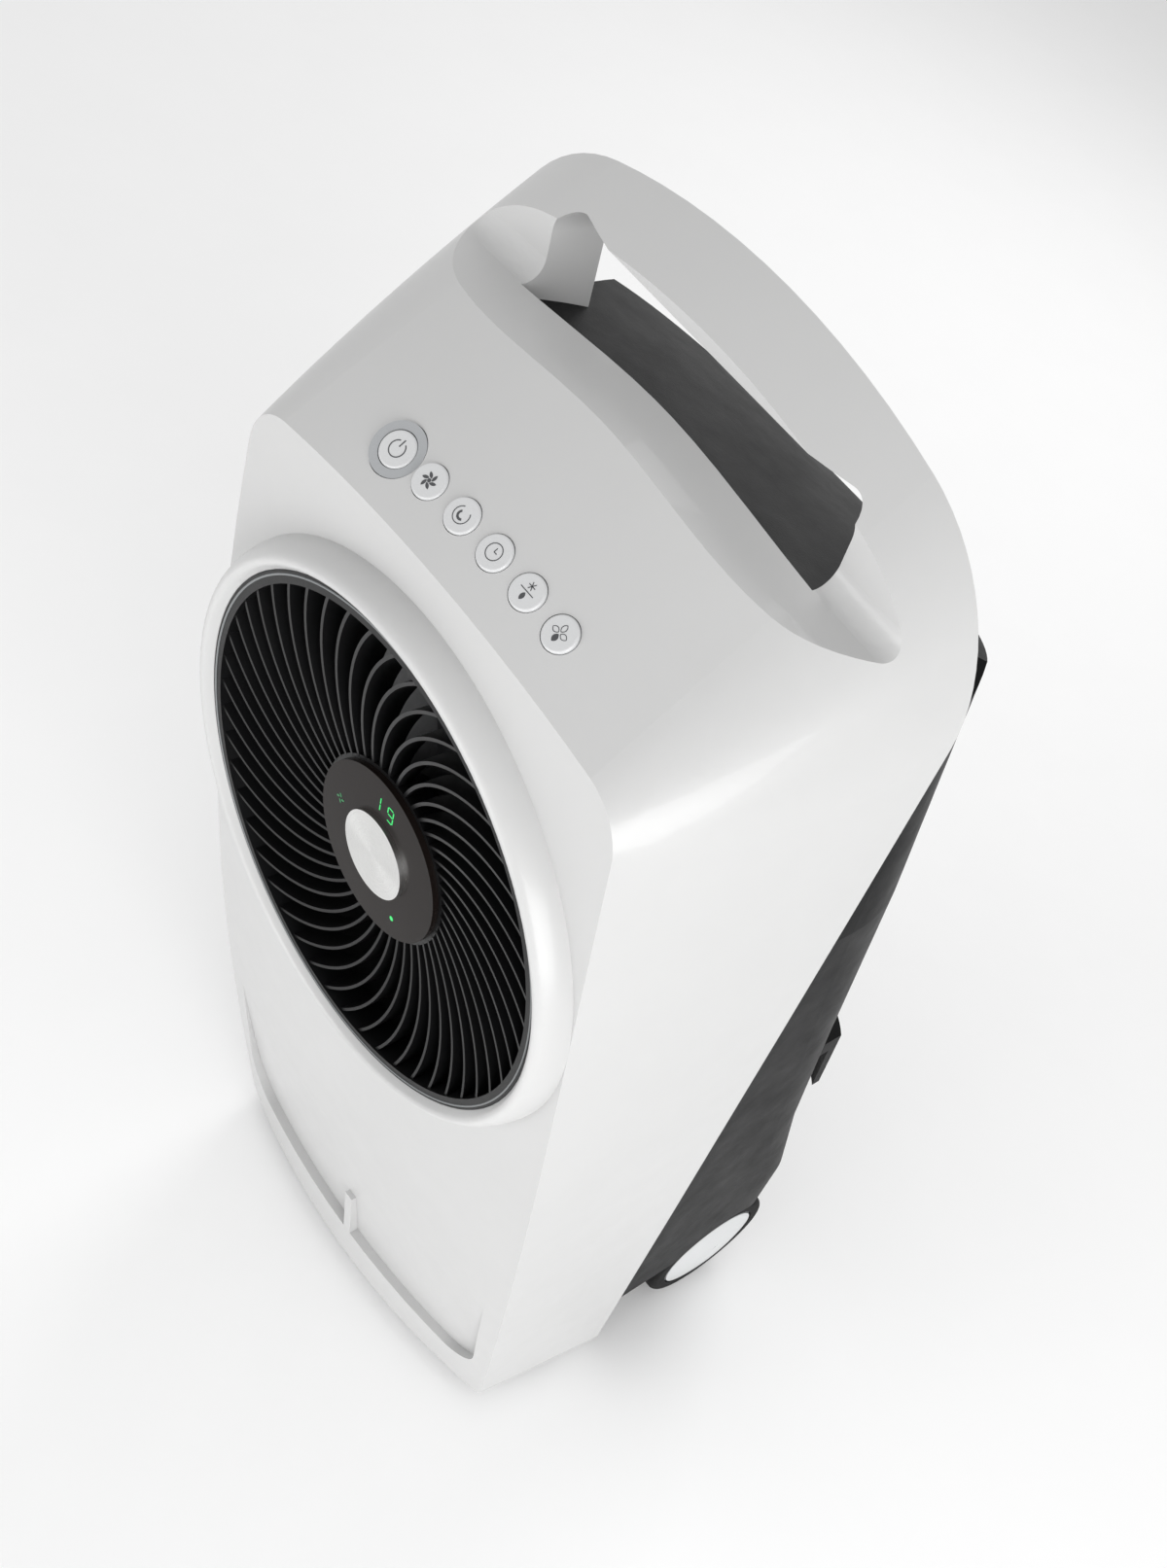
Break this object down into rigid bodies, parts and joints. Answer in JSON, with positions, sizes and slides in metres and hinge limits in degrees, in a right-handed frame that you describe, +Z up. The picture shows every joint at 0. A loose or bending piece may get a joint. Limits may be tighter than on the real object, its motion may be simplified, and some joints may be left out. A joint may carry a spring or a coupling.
{
  "type": "evaporative air cooler",
  "caption": "Upright evaporative air cooler: white front with a swirl vane grille, display hub and carrying arch, black rear housing, drawer tank and rear wheels.",
  "frame": {"origin": "centre of the overall box on the floor plane", "axes": "+Z up, the grille faces -Y, +X is to the right of somebody facing the grille"},
  "size_m": [0.3008, 0.29, 0.68],
  "materials": {
    "white_body": "satin",
    "black_body": "fine texture",
    "panel_mesh": "fine texture",
    "filter_gauze": "woven",
    "axle_steel": "turned",
    "grey_plastic": "moulded",
    "wheel_rubber": "matt",
    "cap_grey": "satin",
    "grille_black": "satin",
    "shroud_black": "moulded",
    "white_inner": "moulded",
    "display_black": "polished",
    "disc_silver": "radially brushed",
    "board_green": "satin",
    "motor_steel": "satin",
    "fan_grey": "moulded",
    "nut_black": "moulded",
    "key_white": "satin",
    "ring_grey": "satin",
    "pump_black": "moulded",
    "pad_paper": "corrugated",
    "latch_black": "moulded",
    "screw_steel": "plated"
  },
  "bodies": {
    "body": {"front_shell": "white_body", "rear_housing": "black_body", "chassis": "black_body", "axle": "axle_steel", "axle_spacers": "grey_plastic", "feet": "wheel_rubber", "vane_grille": "grille_black", "display_lens": "display_black", "metal_disc": "disc_silver", "display_board": "board_green", "fan_shroud": "shroud_black", "fan_motor": "motor_steel", "power_ring": "ring_grey", "button_board": "board_green", "tact_switches": "nut_black", "hose_socket": "grey_plastic", "pad_cassette": "grey_plastic", "cooling_pad": "pad_paper", "drip_tray": "black_body", "water_tray": "white_inner", "riser_hose": "wheel_rubber", "cord_hook": "black_body", "cord_gland": "wheel_rubber", "shroud_screws": "screw_steel", "motor_screws": "screw_steel"},
    "fan": {"impeller": "fan_grey", "motor_shaft": "axle_steel", "fan_nut": "nut_black"},
    "tank": {"water_tank": "black_body", "pump": "pump_black"},
    "panel": {"intake_panel": "panel_mesh", "dust_filter": "filter_gauze"},
    "latch": {"tank_latch": "latch_black"},
    "wheel_left": {"tyre_left": "wheel_rubber", "rim_left": "grey_plastic", "cap_left": "cap_grey"},
    "wheel_right": {"tyre_right": "wheel_rubber", "rim_right": "grey_plastic", "cap_right": "cap_grey"},
    "key_power": {"button_power": "key_white"},
    "key_speed": {"button_speed": "key_white"},
    "key_night": {"button_night": "key_white"},
    "key_timer": {"button_timer": "key_white"},
    "key_mode": {"button_mode": "key_white"},
    "key_breeze": {"button_breeze": "key_white"}
  },
  "joints": [
    {"name": "fan_spin", "type": "hinge", "parent": "body", "child": "fan", "pos_m": [0, 0, 0.436], "axis": [0, 1, 0], "continuous": true},
    {"name": "tank_slide", "type": "slide", "parent": "body", "child": "tank", "axis": [0, 1, 0], "range_m": [0, 0.2]},
    {"name": "panel_off", "type": "slide", "parent": "body", "child": "panel", "axis": [0, 1, 0], "range_m": [0, 0.06]},
    {"name": "latch_turn", "type": "hinge", "parent": "body", "child": "latch", "pos_m": [0, 0.12715, 0.233], "axis": [0, 1, 0], "range_deg": [0, 90]},
    {"name": "wheel_spin_left", "type": "hinge", "parent": "body", "child": "wheel_left", "pos_m": [0, 0.095, 0.05], "axis": [1, 0, 0], "continuous": true},
    {"name": "wheel_spin_right", "type": "hinge", "parent": "body", "child": "wheel_right", "pos_m": [0, 0.095, 0.05], "axis": [1, 0, 0], "continuous": true},
    {"name": "press_power", "type": "slide", "parent": "body", "child": "key_power", "axis": [0, 0.6119, -0.7909], "range_m": [0, 0.001], "stiffness_N_per_m": 600},
    {"name": "press_speed", "type": "slide", "parent": "body", "child": "key_speed", "axis": [0, 0.6119, -0.7909], "range_m": [0, 0.001], "stiffness_N_per_m": 600},
    {"name": "press_night", "type": "slide", "parent": "body", "child": "key_night", "axis": [0, 0.6119, -0.7909], "range_m": [0, 0.001], "stiffness_N_per_m": 600},
    {"name": "press_timer", "type": "slide", "parent": "body", "child": "key_timer", "axis": [0, 0.6119, -0.7909], "range_m": [0, 0.001], "stiffness_N_per_m": 600},
    {"name": "press_mode", "type": "slide", "parent": "body", "child": "key_mode", "axis": [0, 0.6119, -0.7909], "range_m": [0, 0.001], "stiffness_N_per_m": 600},
    {"name": "press_breeze", "type": "slide", "parent": "body", "child": "key_breeze", "axis": [0, 0.6119, -0.7909], "range_m": [0, 0.001], "stiffness_N_per_m": 600}
  ]
}
